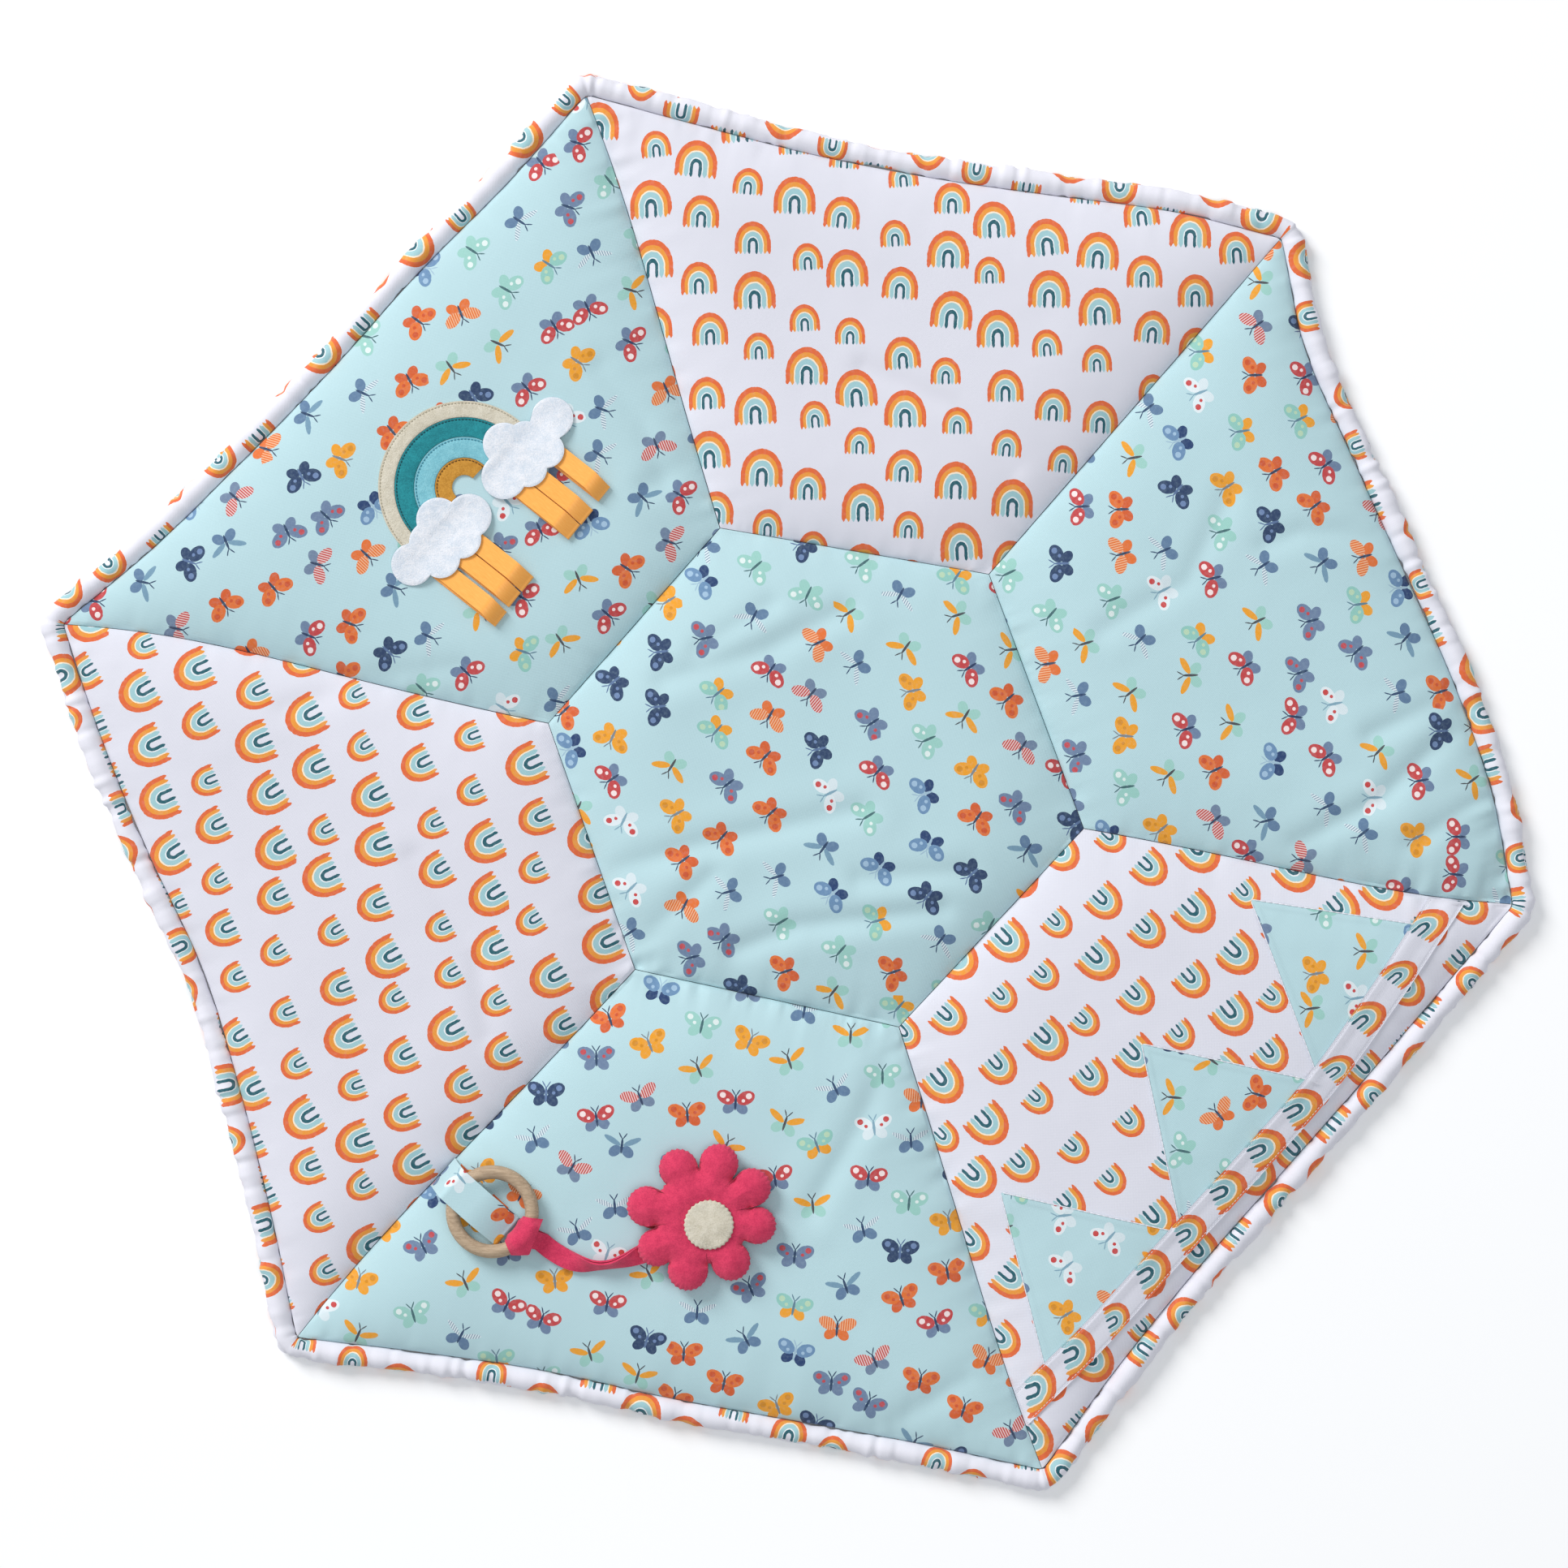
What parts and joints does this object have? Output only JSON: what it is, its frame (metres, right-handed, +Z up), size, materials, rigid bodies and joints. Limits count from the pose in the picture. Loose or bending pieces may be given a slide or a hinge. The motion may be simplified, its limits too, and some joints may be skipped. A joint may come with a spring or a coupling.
{
  "type": "baby play mat",
  "caption": "Hexagonal padded patchwork play mat lying flat, with a bound edge, felt rainbow and clouds, satin ribbon loops, a wooden ring and a stuffed felt flower.",
  "frame": {"origin": "middle of the mat's outline, on the floor it lies on", "axes": "+Z up out of the printed side, +X to the picture's right, +Y to its top"},
  "size_m": [1.1932, 1.1326, 0.0487],
  "materials": {
    "butterfly_cotton": "aqua printed cotton, matte",
    "rainbow_cotton": "white printed cotton, matte",
    "backing_cotton": "plain white cotton, matte",
    "binding_cotton": "white printed cotton, gathered, matte",
    "cream_felt": "cream felt, fuzzy",
    "teal_felt": "teal felt, fuzzy",
    "light_blue_felt": "light blue felt, fuzzy",
    "ochre_felt": "ochre felt, fuzzy",
    "white_felt": "white felt, fuzzy",
    "satin_ribbon": "orange satin ribbon, soft sheen",
    "beech": "sanded beech, unvarnished",
    "red_felt": "pink-red felt, fuzzy"
  },
  "bodies": {
    "root": {"backing": "backing_cotton", "binding": "binding_cotton", "panel_centre": "butterfly_cotton", "panel_top": "rainbow_cotton", "panel_upper_left": "butterfly_cotton", "panel_left": "rainbow_cotton", "panel_bottom": "butterfly_cotton", "panel_lower_right": "rainbow_cotton", "panel_right": "butterfly_cotton", "band_cream": "cream_felt", "band_teal": "teal_felt", "band_light_blue": "light_blue_felt", "band_ochre": "ochre_felt", "cloud_upper": "white_felt", "cloud_lower": "white_felt", "ribbon_lower_1": "satin_ribbon", "ribbon_lower_2": "satin_ribbon", "ribbon_lower_3": "satin_ribbon", "ribbon_upper_1": "satin_ribbon", "ribbon_upper_2": "satin_ribbon", "ribbon_upper_3": "satin_ribbon", "wooden_ring": "beech", "ring_loop": "butterfly_cotton", "felt_strap": "red_felt", "flower": "red_felt", "flower_disc": "cream_felt", "pennant_upper": "butterfly_cotton", "pennant_middle": "butterfly_cotton", "pennant_lower": "butterfly_cotton", "pennant_tape": "rainbow_cotton"}
  },
  "joints": []
}
